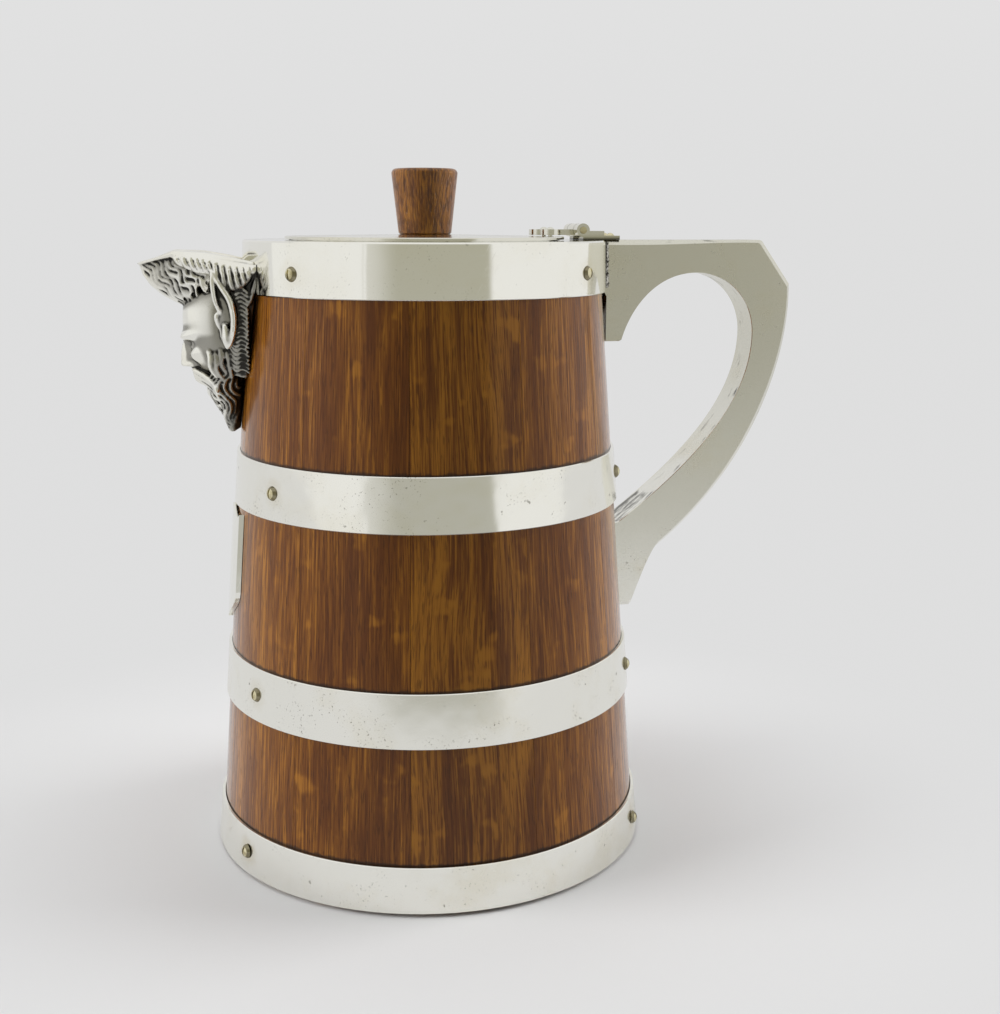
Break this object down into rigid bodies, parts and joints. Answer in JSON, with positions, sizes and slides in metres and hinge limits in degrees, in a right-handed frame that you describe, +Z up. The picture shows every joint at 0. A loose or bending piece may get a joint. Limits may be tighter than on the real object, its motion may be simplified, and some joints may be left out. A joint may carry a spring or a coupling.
{
  "type": "coopered wine jug",
  "caption": "Tapered coopered oak wine jug with plated hoops, a cast horned-mask pouring spout, a flat loop handle and a hinged lid with a turned knob.",
  "frame": {"origin": "on the jug's axis at the floor it stands on", "axes": "+Z up along the jug's axis, +X towards the handle and the lid's hinge, -X towards the spout"},
  "size_m": [0.2269, 0.1536, 0.2345],
  "materials": {
    "oak": "varnished oak with a vertical grain",
    "turned_oak": "polished turned oak",
    "silver_plate": "worn polished silver plate",
    "pale_brass": "nickel-plated brass, slightly tarnished"
  },
  "bodies": {
    "jug": {"stave_01": "oak", "stave_02": "oak", "stave_03": "oak", "stave_04": "oak", "stave_05": "oak", "stave_06": "oak", "stave_07": "oak", "stave_08": "oak", "stave_09": "oak", "stave_10": "oak", "stave_11": "oak", "bottom_board": "oak", "rim_mount": "silver_plate", "upper_hoop": "silver_plate", "lower_hoop": "silver_plate", "base_hoop": "silver_plate", "spout_mask": "silver_plate", "handle": "silver_plate", "shield": "silver_plate", "hinge_rim_leaf": "silver_plate", "rim_screws": "pale_brass", "upper_hoop_screws": "pale_brass", "lower_hoop_screws": "pale_brass", "base_hoop_screws": "pale_brass", "spout_screws": "pale_brass", "handle_screws": "pale_brass", "hinge_leaf_screws": "pale_brass", "hinge_pin": "pale_brass"},
    "lid": {"lid": "silver_plate", "knob": "turned_oak", "knob_screw": "pale_brass", "hinge_lid_leaf": "silver_plate", "lid_leaf_rivets": "silver_plate"}
  },
  "joints": [
    {"name": "lid_hinge", "type": "hinge", "parent": "jug", "child": "lid", "pos_m": [0.0535, 0, 0.2143], "axis": [0, 1, 0], "range_deg": [0, 110]}
  ]
}
